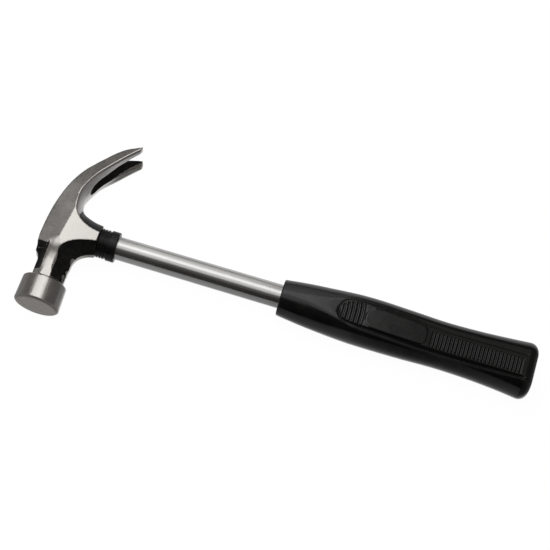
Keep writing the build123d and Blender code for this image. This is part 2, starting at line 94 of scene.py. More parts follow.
# --- node helpers ---------------------------------------------------------------------
class Nodes:
    """A short way to write a node tree. Values may be numbers, colours or sockets."""

    def __init__(self, owner, shader="Principled BSDF", place_socket="Object"):
        if isinstance(owner, str):
            owner = bpy.data.materials.new(owner)
        owner.use_nodes = True
        self.material = owner
        self.tree = owner.node_tree
        self.shader = self.tree.nodes[shader]
        self.object = self.tree.nodes.new("ShaderNodeTexCoord").outputs[place_socket]

    def feed(self, socket, value):
        if isinstance(value, bpy.types.NodeSocket):
            self.tree.links.new(value, socket)
        elif isinstance(value, tuple) and len(value) == 3 and socket.type == "RGBA":
            socket.default_value = (*value, 1)
        else:
            socket.default_value = value

    def set(self, **sockets):
        for name, value in sockets.items():
            self.feed(self.shader.inputs[name.replace("_", " ")], value)

    def stretch(self, scale):
        """The place, scaled by a different number along each axis."""
        node = self.tree.nodes.new("ShaderNodeVectorMath")
        node.operation = "MULTIPLY"
        self.feed(node.inputs[0], self.object)
        node.inputs[1].default_value = scale
        return node.outputs[0]

    def noise(self, scale, detail=3.0, rough=0.55, vector=None):
        """Noise with its features about 1/scale metres across."""
        node = self.tree.nodes.new("ShaderNodeTexNoise")
        self.feed(node.inputs["Vector"], vector or self.object)
        node.inputs["Scale"].default_value = scale
        node.inputs["Detail"].default_value = detail
        node.inputs["Roughness"].default_value = rough
        return node.outputs["Fac"]

    def remap(self, value, low, high, to_low=0.0, to_high=1.0):
        """The value carried from one range to another, and held at its ends."""
        node = self.tree.nodes.new("ShaderNodeMapRange")
        self.feed(node.inputs["Value"], value)
        ends = {"From Min": low, "From Max": high, "To Min": to_low, "To Max": to_high}
        for key, number in ends.items():
            self.feed(node.inputs[key], number)
        return node.outputs["Result"]

    def math(self, operation, a, b):
        node = self.tree.nodes.new("ShaderNodeMath")
        node.operation = operation
        self.feed(node.inputs[0], a)
        self.feed(node.inputs[1], b)
        return node.outputs[0]

    def mix(self, share, a, b):
        """Colour a where share is 0, colour b where it is 1."""
        node = self.tree.nodes.new("ShaderNodeMix")
        node.data_type = "RGBA"
        self.feed(node.inputs["Factor"], share)
        self.feed(node.inputs[6], a)
        self.feed(node.inputs[7], b)
        return node.outputs[2]

    def parts(self):
        """The place's x, y and z."""
        node = self.tree.nodes.new("ShaderNodeSeparateXYZ")
        self.feed(node.inputs[0], self.object)
        return node.outputs

    def attribute(self, name):
        """A value that the mesh holds for each point."""
        node = self.tree.nodes.new("ShaderNodeAttribute")
        node.attribute_name = name
        return node.outputs["Fac"]

    def bump(self, height, strength, distance, normal=None):
        node = self.tree.nodes.new("ShaderNodeBump")
        node.inputs["Strength"].default_value = strength
        node.inputs["Distance"].default_value = distance
        self.feed(node.inputs["Height"], height)
        if normal is not None:
            self.feed(node.inputs["Normal"], normal)
        return node.outputs["Normal"]


# --- materials ------------------------------------------------------------------------
def head_material():
    """Ground and satin polished steel, with black paint left in the forged recesses, and painted shade
    on the striking face.
    """
    n = Nodes("head_steel_and_paint")
    paint = n.attribute("paint")
    chips = n.noise(900, 4, 0.7)
    chipped = n.math("ADD", paint, n.remap(chips, 0.3, 0.7, -0.22, 0.22))
    edge = n.remap(chipped, 0.42, 0.58)
    patches = n.noise(110, 3)
    brushed = n.noise(1, 4, 0.6, n.stretch((900, 7000, 500)))
    # This value marks the rough bare slot walls, and the painted shade on the striking face, as darker,
    # rougher steel.
    dull_and_painted_shade = n.attribute("dull_and_painted_shade")
    ground_steel = n.mix(n.remap(patches, 0.35, 0.65), (0.51, 0.49, 0.465), (0.575, 0.555, 0.53))
    dull_steel_and_painted_shade = n.mix(n.remap(chips, 0.35, 0.65), (0.15, 0.135, 0.12), (0.30, 0.275, 0.25))
    steel = n.mix(dull_and_painted_shade, ground_steel, dull_steel_and_painted_shade)
    stains = n.remap(n.noise(420, 4, 0.7), 0.42, 0.68)
    paint_colour = n.mix(stains, (0.004, 0.004, 0.004), (0.019, 0.017, 0.015))
    n.set(Base_Color=n.mix(edge, steel, paint_colour))
    n.set(Metallic=n.math("SUBTRACT", n.math("SUBTRACT", 1.0, edge), n.math("MULTIPLY", dull_and_painted_shade, 0.7)))
    steel_rough = n.remap(brushed, 0.3, 0.7, 0.25, 0.33)
    steel_rough = n.math("ADD", steel_rough, n.remap(patches, 0.3, 0.7, -0.03, 0.03))
    steel_rough = n.math("ADD", steel_rough, n.math("MULTIPLY", dull_and_painted_shade, 0.2))
    paint_rough = n.remap(n.noise(600, 3), 0.3, 0.7, 0.32, 0.48)
    rough = n.tree.nodes.new("ShaderNodeMix")
    n.feed(rough.inputs["Factor"], edge)
    n.feed(rough.inputs[2], steel_rough)
    n.feed(rough.inputs[3], paint_rough)
    n.set(Roughness=rough.outputs[0])
    fine = n.bump(brushed, 0.05, 0.00002)
    pits = n.bump(n.noise(1500, 4, 0.7), 0.04, 0.00003, fine)
    n.set(Specular_IOR_Level=0.2)
    n.set(Normal=n.bump(edge, 0.35, 0.00008, pits))
    return n.material


def tube_material():
    """Bright plate over drawn tube: faint lines along it and slight waviness."""
    n = Nodes("tube_plate")
    drawn = n.noise(1, 4, 0.6, n.stretch((8, 1000, 1000)))
    cloud = n.noise(60, 3)
    plate = n.mix(n.remap(drawn, 0.35, 0.65), (0.53, 0.525, 0.515), (0.62, 0.615, 0.605))
    n.set(Base_Color=n.mix(n.remap(cloud, 0.45, 0.75), plate, (0.63, 0.625, 0.61)))
    n.set(Metallic=1.0)
    lined = n.remap(drawn, 0.3, 0.7, 0.17, 0.25)
    n.set(Roughness=n.math("ADD", lined, n.remap(cloud, 0.3, 0.7, 0.0, 0.04)))
    n.set(Normal=n.bump(drawn, 0.8, 0.00005))
    return n.material


def wedge_material():
    """Turned steel plug, slightly dull."""
    n = Nodes("wedge_steel")
    grain = n.noise(1400, 4, 0.65)
    n.set(Base_Color=n.mix(n.remap(grain, 0.35, 0.65), (0.34, 0.33, 0.31), (0.46, 0.45, 0.43)))
    n.set(Metallic=1.0)
    n.set(Roughness=n.remap(grain, 0.3, 0.7, 0.34, 0.52))
    n.set(Normal=n.bump(grain, 0.2, 0.00005))
    return n.material


def rubber_material():
    """Satin black moulding with a fine skin and a few duller, greyer patches."""
    n = Nodes("grip_rubber")
    skin = n.noise(2600, 3, 0.6)
    mottle = n.noise(190, 4, 0.6)
    haze = n.noise(45, 3)
    colour = n.mix(n.remap(mottle, 0.4, 0.75), (0.0008, 0.0008, 0.0009), (0.0030, 0.0029, 0.0029))
    n.set(Base_Color=n.mix(n.remap(haze, 0.45, 0.7), colour, (0.0050, 0.0048, 0.0047)))
    satin = n.remap(mottle, 0.3, 0.7, 0.17, 0.26)
    n.set(Roughness=n.math("ADD", satin, n.remap(skin, 0.3, 0.7, -0.03, 0.03)))
    n.set(Specular_IOR_Level=0.55)
    fine = n.bump(skin, 0.12, 0.00005)
    n.set(Normal=n.bump(mottle, 0.06, 0.0003, fine))
    return n.material


def collar_material():
    """Black plastic, smoother than the grip."""
    n = Nodes("collar_plastic")
    skin = n.noise(1800, 3, 0.6)
    cloud = n.noise(240, 3)
    n.set(Base_Color=n.mix(n.remap(cloud, 0.35, 0.65), (0.004, 0.004, 0.004), (0.009, 0.009, 0.009)))
    satin = n.remap(cloud, 0.3, 0.7, 0.22, 0.33)
    n.set(Roughness=n.math("ADD", satin, n.remap(skin, 0.3, 0.7, -0.03, 0.03)))
    n.set(Specular_IOR_Level=0.28)
    n.set(Normal=n.bump(skin, 0.12, 0.00005))
    return n.material


def wood_material():
    """Pale hardwood with its grain along the handle."""
    n = Nodes("core_wood")
    grain = n.noise(1, 5, 0.6, n.stretch((40, 1500, 1500)))
    n.set(Base_Color=n.mix(n.remap(grain, 0.3, 0.7), (0.30, 0.17, 0.075), (0.55, 0.36, 0.19)))
    n.set(Roughness=n.remap(grain, 0.3, 0.7, 0.55, 0.75))
    n.set(Normal=n.bump(grain, 0.3, 0.0001))
    return n.material


def plug_material():
    """Dull dark grey plastic."""
    n = Nodes("plug_plastic")
    skin = n.noise(1500, 4)
    n.set(Base_Color=n.mix(n.remap(skin, 0.35, 0.65), (0.02, 0.02, 0.02), (0.035, 0.035, 0.035)))
    n.set(Roughness=n.remap(skin, 0.3, 0.7, 0.45, 0.6))
    n.set(Normal=n.bump(skin, 0.15, 0.00005))
    return n.material


def floor_material():
    """A matt pale floor that glows, so it stays even and white under the lights."""
    n = Nodes("studio_floor")
    cloud = n.noise(3, 2)
    n.set(Base_Color=n.mix(cloud, (0.11, 0.11, 0.11), (0.13, 0.13, 0.13)))
    n.set(Roughness=n.remap(cloud, 0.3, 0.7, 0.85, 0.95))
    n.set(Specular_IOR_Level=0.0, Emission_Color=(1, 1, 1), Emission_Strength=FLOOR_GLOW)
    return n.material


# --- head -----------------------------------------------------------------------------
# Where the slot's middle line runs on the claws' inner surface, from its root to the tips.
SLOT_LINE = [(9.9, 35.9), (15.4, 44.6), (20.0, 50.9), (24.9, 56.4), (30.1, 61.9), (34.3, 65.9)]
# How far from the mid-plane the slot's walls and its root reach, and where the claws start.
SLOT_WALL_END = 10.9
SLOT_ROOT_HALF = 7.0
CLAWS_START = 27.0
# How deep in the slot its paint starts, at five places from the root to the tips.
PAINT_ALONG = [0, 0.25, 0.5, 0.75, 1]
PAINT_DEPTH = [-1, 0.3, 1.1, 1.3, 1.5]
HEAD_VOXEL = 0.42
HEAD_ROUNDS = 3
SHOULDER_ROUNDS = 300
SHOULDER_SLOPE = 0.35
# The bounds of the painted patches: the ground seam down the underside, the scallops in the
# neck, the underside's ends along y, and the socket's claw side along y and from the mid-plane.
SEAM_HALF = 2.3
SEAM_RAG = 3.2
SCALLOP_AT = (-13.2, 13.6)
SCALLOP_R = 8.2
NECK_TOP = -13.0
NECK_SIDE = -4.0
UNDERSIDE = (-34.8, 1.5)
THROAT = (0.5, 16.0)
THROAT_HALF = (3.6, 13.7)
# Painted shade on the striking face: how strongly it is made darker and rougher, and below which y.
POLL_PAINTED_SHADE = 0.7
POLL_PAINTED_SHADE_BELOW = -42.0
FAR_CLAW_PROUD = 0.9


def applied(piece):
    """A piece's mesh with its modifiers made part of it."""
    graph = bpy.context.evaluated_depsgraph_get()
    final = bpy.data.meshes.new_from_object(piece.evaluated_get(graph))
    piece.modifiers.clear()
    piece.data = final
    return final


def blend(piece, share, rounds):
    """Melts a piece's surface where share is 1, and leaves it where share is 0."""
    group = piece.vertex_groups.new(name="blend")
    for i in np.nonzero(share > 0.01)[0]:
        group.add([int(i)], float(share[i]), "REPLACE")
    melt = piece.modifiers.new("melt", "SMOOTH")
    melt.iterations = rounds
    melt.factor = 0.5
    melt.vertex_group = "blend"
    applied(piece)


def remeshed(node, name, voxel, rounds):
    """An even mesh of a CAD node with slightly softened edges, as a new object."""
    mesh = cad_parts[node].data.copy()
    welded = bmesh.new()
    welded.from_mesh(mesh)
    bmesh.ops.remove_doubles(welded, verts=welded.verts, dist=1e-6)
    welded.to_mesh(mesh)
    welded.free()
    piece = bpy.data.objects.new(name, mesh)
    bpy.context.scene.collection.objects.link(piece)
    remesh = piece.modifiers.new("even", "REMESH")
    remesh.mode = "VOXEL"
    remesh.voxel_size = voxel * MM
    settle = piece.modifiers.new("settle", "SHRINKWRAP")
    settle.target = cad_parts[node]
    settle.wrap_method = "NEAREST_SURFACEPOINT"
    soften = piece.modifiers.new("soften", "SMOOTH")
    soften.iterations = rounds
    soften.factor = 0.5
    final = applied(piece)
    final.name = name
    final.polygons.foreach_set("use_smooth", [True] * len(final.polygons))
    return piece


def rag(points, size, amount):
    """A small uneven shift for the edges of the paint, in millimetres."""
    return np.array([noise.noise(Vector(p) / size) for p in points]) * amount


def slot_place(x, y):
    """How far along the slot a point is, from 0 at the root to 1 at the tips, and how deep."""
    best = np.full(x.shape, 1e9)
    along = np.zeros(x.shape)
    depth = np.zeros(x.shape)
    for i, ((ax, ay), (bx, by)) in enumerate(zip(SLOT_LINE, SLOT_LINE[1:])):
        dx, dy = bx - ax, by - ay
        length = math.hypot(dx, dy)
        t = np.clip(((x - ax) * dx + (y - ay) * dy) / length ** 2, 0, 1)
        px, py = x - ax - t * dx, y - ay - t * dy
        near = np.hypot(px, py) < best
        best = np.where(near, np.hypot(px, py), best)
        along = np.where(near, (i + t) / (len(SLOT_LINE) - 1), along)
        depth = np.where(near, (py * dx - px * dy) / length, depth)
    return along, depth


def head_finish(points, normals):
    """Two values for each point: 1 where the head is painted black, and up to 1 where bare
    steel is rough and dark, and where the striking face has painted shade. Both are 0 on the ground
    surfaces."""
    x, y, z = points.T
    nx, ny, nz = normals.T
    side = np.abs(z)
    shake = rag(points, 2.2, 0.5) + rag(points, 0.7, 0.25)
    # The slot's walls face the mid-plane, and its root faces the tips. The paint fills the
    # root, and towards the tips it is only left deep down by the crown.
    facing_in = -np.sign(z) * nz
    tip_way = np.array(SLOT_LINE[1]) - np.array(SLOT_LINE[0])
    tip_way = tip_way / np.linalg.norm(tip_way)
    facing_tip = nx * tip_way[0] + ny * tip_way[1]
    along, depth = slot_place(x, y)
    wall = smooth_step(0.22, 0.42, np.maximum(facing_in, np.where(side < SLOT_ROOT_HALF, facing_tip, 0)))
    wall = wall * (side < SLOT_WALL_END) * (y > CLAWS_START)
    painted_from = np.interp(along, PAINT_ALONG, PAINT_DEPTH)
    in_slot = wall * smooth_step(-0.25, 0.25, depth - painted_from + 0.5 * shake)
    # Scallops in the neck's crown corners.
    reach = np.hypot(x - SCALLOP_AT[0], side - SCALLOP_AT[1])
    in_scallop = smooth_step(0.55, 0.25, np.abs(reach - SCALLOP_R) + 0.2 * shake) * (nx < 0.2)
    facing_poll = smooth_step(0.3, 0.6, -ny) * (reach < SCALLOP_R + 0.4) * (y > NECK_TOP - 4)
    in_scallop = np.maximum(in_scallop, facing_poll)
    in_scallop = in_scallop * smooth_step(-31.5, -30.0, y + shake) * (y < NECK_TOP) * (x < NECK_SIDE)
    # The socket's underside and the neck's handle side, beside the ground seam, which is
    # ragged towards the poll.
    ragged = smooth_step(NECK_TOP, NECK_TOP - 7, y) * rag(points, 2.5, SEAM_RAG)
    seam = SEAM_HALF + ragged + 0.4 * shake
    beside_seam = smooth_step(-0.25, 0.35, side - seam)
    tilted = smooth_step(0.90, 0.84, np.abs(nz))
    under = tilted * beside_seam * (x > -5.5 - 0.1 * y) * (nx > -0.2)
    under = under * (y > UNDERSIDE[0]) * (y < UNDERSIDE[1])
    under = under * smooth_step(UNDERSIDE[0] + 0.4, UNDERSIDE[0] + 1.4, y + 0.6 * shake)
    # The socket's claw side, streaked along its length.
    streaks = rag(points * (0.25, 0.25, 1.0), 0.7, 1.5)
    throat = smooth_step(-0.3, 0.3, side - THROAT_HALF[0] + streaks)
    throat = throat * smooth_step(THROAT_HALF[1], THROAT_HALF[1] - 0.3, side + 0.2 * streaks)
    throat = throat * tilted * (y > THROAT[0]) * (y < THROAT[1]) * smooth_step(6.3, 8.0, x + shake)
    paint = np.clip(np.maximum.reduce([in_slot, in_scallop, under, throat]), 0, 1)
    # The claws' end faces are ground bright, and the striking face gets painted shade as darker, rougher
    # steel.
    end_face = smooth_step(0.93, 0.97, along) * smooth_step(1.5, 0.5, depth)
    striking_face_shade = POLL_PAINTED_SHADE * smooth_step(0.45, 0.85, -ny) * (y < POLL_PAINTED_SHADE_BELOW)
    return paint, np.maximum(wall * (1 - end_face), striking_face_shade)


def fill_far_claw(piece):
    """The lower claw's inner surface stands a little proud, as the grinding left it."""
    points = local(piece.data)[0]
    x, y, z = points.T
    along, depth = slot_place(x, y)
    move = FAR_CLAW_PROUD * smooth_step(-7.5, -12.5, z) * smooth_step(3.0, 0.5, depth)
    move = move * smooth_step(0.0, 0.45, along)
    way = np.array(SLOT_LINE[-1]) - np.array(SLOT_LINE[0])
    way = way / np.linalg.norm(way)
    points[:, 0] += way[1] * move
    points[:, 1] -= way[0] * move
    piece.data.vertices.foreach_set("co", place(points).ravel())
    piece.data.update()


def make_head():
    head = remeshed("head", "head_forging", HEAD_VOXEL, HEAD_ROUNDS)
    fill_far_claw(head)
    x, y, z = local(head.data)[0].T
    # The neck's side melts into the cheek.
    shoulder = smooth_step(-31, -25, y) * smooth_step(-8.0, -12.0, y) * smooth_step(9.5, 10.5, np.abs(z))
    shoulder = shoulder * smooth_step(-5.5, -3.5, x)
    shoulder = shoulder * smooth_step(3.0, 1.0, x + SHOULDER_SLOPE * (y + 14))
    blend(head, shoulder, SHOULDER_ROUNDS)
    points, normals = local(head.data)
    paint, dull_and_painted_shade = head_finish(points, normals)
    write_attribute(head.data, "paint", paint)
    write_attribute(head.data, "dull_and_painted_shade", dull_and_painted_shade)
    head.data.materials.clear()
    head.data.materials.append(head_material())
    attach(head, "root")
    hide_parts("head")


# --- turned pieces --------------------------------------------------------------------
def rounded(profile, radii, steps=5):
    """A profile of (x, radius) points with its corners rounded by the given lengths."""
    out = []
    for i, (point, radius) in enumerate(zip(profile, radii)):
        if radius == 0 or i in (0, len(profile) - 1):
            out.append(point)
            continue
        p, a, b = (np.array(q, float) for q in (point, profile[i - 1], profile[i + 1]))
        start = p + (a - p) * min(radius / np.linalg.norm(a - p), 0.5)
        end = p + (b - p) * min(radius / np.linalg.norm(b - p), 0.5)
        for k in range(steps + 1):
            t = k / steps
            out.append(tuple((1 - t) ** 2 * start + 2 * t * (1 - t) * p + t * t * end))
    return out


def divided(profile, longest):
    """The same profile with long runs cut into steps."""
    out = [profile[0]]
    for a, b in zip(profile, profile[1:]):
        count = max(1, math.ceil(math.hypot(b[0] - a[0], b[1] - a[1]) / longest))
        for k in range(1, count + 1):
            out.append((a[0] + (b[0] - a[0]) * k / count, a[1] + (b[1] - a[1]) * k / count))
    return out


def lathe(name, profile, segments, closed=False):
    """A profile turned about the handle's axis. Points on the axis close the ends."""
    points, rings = [], []
    for x, radius in profile:
        if radius < 1e-6:
            rings.append([len(points)])
            points.append((x, 0, 0))
            continue
        rings.append(list(range(len(points), len(points) + segments)))
        for k in range(segments):
            turn = 2 * math.pi * k / segments
            points.append((x, radius * math.cos(turn), radius * math.sin(turn)))
    faces = []
    pairs = list(zip(rings, rings[1:]))
    if closed:
        pairs.append((rings[-1], rings[0]))
    for a, b in pairs:
        for k in range(segments):
            m = (k + 1) % segments
            if len(a) == 1:
                faces.append((a[0], b[k], b[m]))
            elif len(b) == 1:
                faces.append((a[k], b[0], a[m]))
            else:
                faces.append((a[k], b[k], b[m], a[m]))
    return new_piece(name, points, faces)


SEGMENTS = 128
TUBE_END = 288.0
TUBE_WALL = 1.6
TUBE_R_HEAD = 7.34
TUBE_R_BUTT = 7.93
EYE_FLARE_START = 6.0
EYE_R_CROWN = 8.1
CROWN_RISE = 12.6
WEDGE_SEGMENTS = 72
WEDGE_END = 4.0
WEDGE_MARKS = 8


def tube_r(x):
    """The tube's outer radius, which flares in the eye and grows slowly to the butt."""
    if x < EYE_FLARE_START:
        share = (EYE_FLARE_START - x) / (EYE_FLARE_START + CROWN_RISE)
        return TUBE_R_HEAD + (EYE_R_CROWN - TUBE_R_HEAD) * share
    share = (x - EYE_FLARE_START) / (TUBE_END - EYE_FLARE_START)
    return TUBE_R_HEAD + (TUBE_R_BUTT - TUBE_R_HEAD) * share


def make_tube():
    """The plated tube, open at both ends, with its edges rounded."""
    outer = [(TUBE_START, tube_r(TUBE_START)), (EYE_FLARE_START, TUBE_R_HEAD), (TUBE_END, TUBE_R_BUTT)]
    inner = [(x, tube_r(x) - TUBE_WALL) for x in (TUBE_END, EYE_FLARE_START, TUBE_START)]
    end = (TUBE_START, tube_r(TUBE_START) - TUBE_WALL / 2)
    profile = rounded([end, *outer, *inner, end], [0, 0.35, 0, 0.35, 0.2, 0, 0.35, 0])
    tube = lathe("handle_tube", divided(profile, 4.0)[:-1], SEGMENTS, closed=True)
    tube.data.materials.append(tube_material())
    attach(tube, "root")
    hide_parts("shaft_tube")


def make_wedge():
    """The steel plug in the eye, with turning marks and a small centre dimple on its end."""
    edge = tube_r(TUBE_START) - TUBE_WALL
    profile = [(TUBE_START + 0.9, 0), (TUBE_START + 0.3, 0.9)]
    for k in range(WEDGE_MARKS):
        radius = 1.1 + k * (edge - 1.6) / WEDGE_MARKS
        profile += [(TUBE_START + 0.10, radius), (TUBE_START + 0.22, radius + 0.3)]
    profile += [(TUBE_START + 0.1, edge - 0.4), (TUBE_START + 0.5, edge)]
    profile += [(WEDGE_END, tube_r(WEDGE_END) - TUBE_WALL), (WEDGE_END, 0)]
    wedge = lathe("eye_plug", divided(profile, 2.0), WEDGE_SEGMENTS)
    wedge.data.materials.append(wedge_material())
    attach(wedge, "root")
    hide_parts("eye_wedge")


SOCKET_END = 22.5
COLLAR_END = 34.7
COLLAR_R = 9.7
COLLAR_RIB_R = 9.35
COLLAR_VALLEY_R = 8.8
COLLAR_LEAD = 0.5
COLLAR_PITCH = 1.9
COLLAR_GAP = 0.7
COLLAR_RIBS = 3


def make_collar():
    """The collar against the head's socket: ribs first, then a plain band."""
    profile = [(SOCKET_END, tube_r(SOCKET_END)), (SOCKET_END, COLLAR_VALLEY_R)]
    radii = [0, 0.1]
    for k in range(COLLAR_RIBS):
        start = SOCKET_END + COLLAR_LEAD + k * COLLAR_PITCH
        end = start + COLLAR_PITCH - COLLAR_GAP
        profile += [(start, COLLAR_VALLEY_R), (start + 0.08, COLLAR_RIB_R)]
        profile += [(end - 0.08, COLLAR_RIB_R), (end, COLLAR_VALLEY_R)]
        radii += [0.12, 0.3, 0.3, 0.12]
    band = SOCKET_END + 2 * COLLAR_LEAD + COLLAR_RIBS * COLLAR_PITCH
    profile += [(band, COLLAR_VALLEY_R), (band + 0.05, COLLAR_R), (COLLAR_END, COLLAR_R),
                (COLLAR_END, tube_r(COLLAR_END)), (SOCKET_END, tube_r(SOCKET_END))]
    radii += [0.12, 0.45, 0.7, 0.15, 0]
    collar = lathe("collar_ring", divided(rounded(profile, radii), 0.8)[:-1], SEGMENTS, closed=True)
    collar.data.materials.append(collar_material())
    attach(collar, "root")
    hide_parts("collar")


# --- grip -----------------------------------------------------------------------------
# Distance from the eye centre, reach to the claws, reach to the face, half thickness of the
# section, and half thickness over its flat sides.
GRIP = np.array([(141.2, 11.0, 11.8, 11.7, 12.6), (155.0, 12.7, 13.5, 13.0, 13.4),
                 (172.0, 14.1, 14.95, 14.2, 13.5), (185.0, 14.8, 15.5, 15.2, 13.5),
                 (198.0, 15.2, 15.75, 15.3, 13.5), (222.0, 14.5, 15.6, 15.3, 13.5),
                 (246.0, 13.6, 15.0, 15.2, 13.5), (266.0, 14.15, 15.6, 15.3, 13.5),
                 (284.0, 15.4, 17.0, 15.4, 13.5), (304.9, 17.3, 19.6, 15.4, 13.5)])
GRIP_START, BUTT = GRIP[0, 0], GRIP[-1, 0]
BUTT_ROUND = 6.6
FRONT_ROUND = 0.9
SIDE_ROUND = 0.9
# How square the section is along the handle: 2 is an ellipse.
SECTION_POWER = [(141.0, 2.05), (170.0, 2.15), (190.0, 2.45)]
# The grip's own bore for the tube, which ends at the plug.
BORE_END = 290.9
BORE_PLAY = 0.02
BORE_CHAMFER = (0.25, 0.35)
# The side panel's upper and lower edges, from the middle of its rounded front end.
PANEL_TOP = [(178.3, -1.2), (178.5, 0.8), (179.1, 2.6), (180.3, 4.3), (182.0, 5.6), (184.4, 6.5),
             (188.0, 7.1), (195.6, 7.4), (205.0, 7.2), (215.0, 6.8), (225.0, 6.1), (235.0, 4.9),
             (247.0, 4.3), (260.0, 4.4), (273.0, 4.7), (286.0, 4.9), (298.0, 5.0)]
PANEL_LOW = [(178.3, -1.2), (178.5, -3.2), (179.2, -5.0), (180.4, -6.4), (182.2, -7.5), (184.6, -8.1),
             (188.0, -8.4), (193.5, -8.7), (200.0, -8.9), (213.0, -9.4), (229.0, -9.9), (248.0, -10.1),
             (267.0, -10.1), (286.0, -10.1), (299.5, -10.0)]
PANEL_FRONT = 178.2
PANEL_STRAIGHT = 189.0
PANEL_FADE = (300.5, 296.5)
# Depth and width of the groove round the panel: on its upper side, and what the lower adds.
GROOVE, GROOVE_MORE = (0.5, 0.42), (0.8, 0.16)
LEDGE_SHARE = 0.92
PLATE = (195.4, 234.6)
PLATE_TOP = [(196, 4.6), (200, 5.4), (209, 5.6), (220, 5.1), (232, 3.6), (235, 3.2)]
PLATE_ABOVE_EDGE = 1.35
PLATE_CORNERS = (5.1, 3.6)
PLATE_MIDDLE = 212
PLATE_RISE = 0.42
RIB_FIELD = (237.4, 296.6)
RIB_PITCH = 2.395
RIB_FIRST = 239.2
RIB_BAND = (-8.6, 2.0)
RIB_SUNK, RIB_RISE = 0.6, 0.95
THUMB_FIRST = 182.5
THUMB_PITCH = 2.77
THUMB_END = 195.2
THUMB_BOW = 0.012
THUMB_SUNK, THUMB_RISE = 0.55, 0.75
# The grip's mesh: steps along the handle, and points across the side and round its edges.
PLAIN_STEP, PANEL_STEP = 1.2, 0.36
SIDE_POINTS = (20, 42, 10)
SIDE_REACH = (-12.9, 8.95)
EDGE_POINTS = 14
EDGE_REACH = 2.2


def through(table, column, x):
    """A smooth curve through a table's column."""
    xs, ys = table[:, 0], table[:, column]
    slopes = np.gradient(ys, xs)
    i = np.clip(np.searchsorted(xs, x) - 1, 0, len(xs) - 2)
    h = xs[i + 1] - xs[i]
    t = (x - xs[i]) / h
    return ((2 * t ** 3 - 3 * t ** 2 + 1) * ys[i] + (t ** 3 - 2 * t ** 2 + t) * h * slopes[i]
            + (3 * t ** 2 - 2 * t ** 3) * ys[i + 1] + (t ** 3 - t ** 2) * h * slopes[i + 1])


def at(line, x):
    """A line's height at x."""
    return np.interp(x, *zip(*line))


def line_distance(x, y, line):
    """Distance of points from a line of straight runs."""
    best = np.full(x.shape, 1e9)
    for (ax, ay), (bx, by) in zip(line, line[1:]):
        dx, dy = bx - ax, by - ay
        t = np.clip(((x - ax) * dx + (y - ay) * dy) / (dx * dx + dy * dy), 0, 1)
        best = np.minimum(best, np.hypot(x - ax - t * dx, y - ay - t * dy))
    return best


def soft_min(a, b, width):
    """The smaller of two values, with a rounded change from one to the other."""
    t = np.clip((b - a) / width * 0.5 + 0.5, 0, 1)
    return b * (1 - t) + a * t - width * t * (1 - t) * 0.5


def section_z(x, y, inset=0.0):
    """Half thickness of the plain grip at a point of its side."""
    up, down, half, flat = (through(GRIP, c, x) - inset for c in (1, 2, 3, 4))
    share = np.clip(np.abs(y - (up - down) / 2) / ((up + down) / 2), 0, 1)
    power = at(SECTION_POWER, x)
    z = half * (1 - share ** power) ** (1 / power)
    return soft_min(z, flat, SIDE_ROUND)


def bars(x, first, pitch):
    """A wave along x that is 1 on each rib and 0 between two."""
    return 0.5 + 0.5 * np.cos(2 * math.pi * (x - first) / pitch)


def side_detail(x, y):
    """Height of the moulded side panel over the plain grip, in millimetres."""
    top_y, low_y = at(PANEL_TOP, x), at(PANEL_LOW, x)
    fade = smooth_step(*PANEL_FADE, x)
    to_edge = np.minimum(line_distance(x, y, PANEL_TOP), line_distance(x, y, PANEL_LOW))
    lower = smooth_step(2.5, -6.5, y)
    groove = np.exp(-(to_edge / (GROOVE[1] + GROOVE_MORE[1] * lower)) ** 2)
    height = -(GROOVE[0] + GROOVE_MORE[0] * lower) * groove
    # The ledge below the lower groove keeps the height that the section has at its inner edge.
    ledge = smooth_step(0.35, 0.85, low_y - y) * smooth_step(2.35, 1.8, low_y - y)
    ledge = ledge * smooth_step(182, 190, x)
    height = height + ledge * LEDGE_SHARE * (section_z(x, low_y - 0.8) - section_z(x, y))
    inside = (y < top_y) & (y > low_y) & (x > PANEL_FRONT)
    # Ribs for the thumb, bowed towards the head, in the panel's rounded end.
    bow = x + THUMB_BOW * np.maximum(y + 1.6, 0) ** 2
    thumb = inside * smooth_step(1.1, 1.5, to_edge) * smooth_step(THUMB_END, THUMB_END - 0.8, bow)
    raised = smooth_step(0.18, 0.75, bars(bow, THUMB_FIRST, THUMB_PITCH))
    height = height + thumb * (THUMB_RISE * raised - THUMB_SUNK)
    # The smooth plate, with larger corners at its front end.
    corner = np.where(x < PLATE_MIDDLE, *PLATE_CORNERS)
    gap_x = np.maximum(PLATE[0] - x, x - PLATE[1]) + corner
    gap_y = np.maximum(y - at(PLATE_TOP, x), low_y + PLATE_ABOVE_EDGE - y) + corner
    outside = np.hypot(np.maximum(gap_x, 0), np.maximum(gap_y, 0))
    outside = outside + np.minimum(np.maximum(gap_x, gap_y), 0)
    height = height + PLATE_RISE * smooth_step(0.25, -0.35, outside - corner)
    # The ribbed field.
    field = smooth_step(0.0, 0.5, x - RIB_FIELD[0]) * smooth_step(0.0, 0.5, RIB_FIELD[1] - x)
    field = field * smooth_step(0.0, 0.45, y - RIB_BAND[0]) * smooth_step(0.0, 0.45, RIB_BAND[1] - y)
    ends = smooth_step(0.2, 1.0, y - RIB_BAND[0]) * smooth_step(0.2, 1.0, RIB_BAND[1] - y)
    raised = smooth_step(0.15, 0.8, bars(x, RIB_FIRST, RIB_PITCH)) * ends
    height = height + field * (RIB_RISE * raised - RIB_SUNK)
    return height * fade


def panel_columns(x, low, high):
    """Where a ring has its points on its side, in step with the panel's long edges."""
    edges = (low, at(PANEL_LOW, max(x, PANEL_STRAIGHT)), at(PANEL_TOP, max(x, PANEL_STRAIGHT)))
    below, within, above = SIDE_POINTS
    return np.concatenate([np.linspace(edges[0], edges[1], below, endpoint=False),
                           np.linspace(edges[1], edges[2], within, endpoint=False),
                           np.linspace(edges[2], high, above)])


